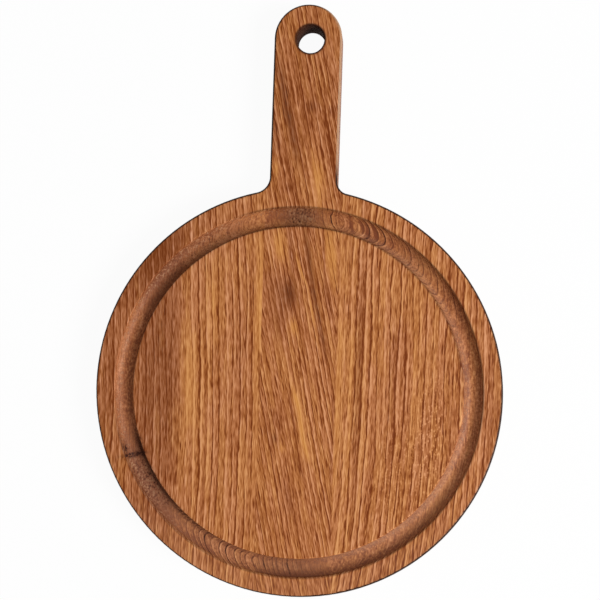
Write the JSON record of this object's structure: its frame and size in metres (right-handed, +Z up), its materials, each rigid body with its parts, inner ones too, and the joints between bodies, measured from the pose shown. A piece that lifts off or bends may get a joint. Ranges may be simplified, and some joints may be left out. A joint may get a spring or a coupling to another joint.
{
  "type": "round wooden serving board with handle",
  "caption": "Round oak pizza board glued up from wide staves, with a groove around its face and a long handle pierced by a hanging hole.",
  "frame": {"origin": "centre of the disc on its underside", "axes": "+Y from the middle of the disc along the handle, +Z up out of the grooved face"},
  "size_m": [0.3, 0.436, 0.022],
  "materials": {
    "oak_left": "oiled",
    "oak_centre": "oiled",
    "oak_right": "oiled"
  },
  "bodies": {
    "root": {"left_stave": "oak_left", "centre_stave": "oak_centre", "right_stave": "oak_right"}
  },
  "joints": []
}
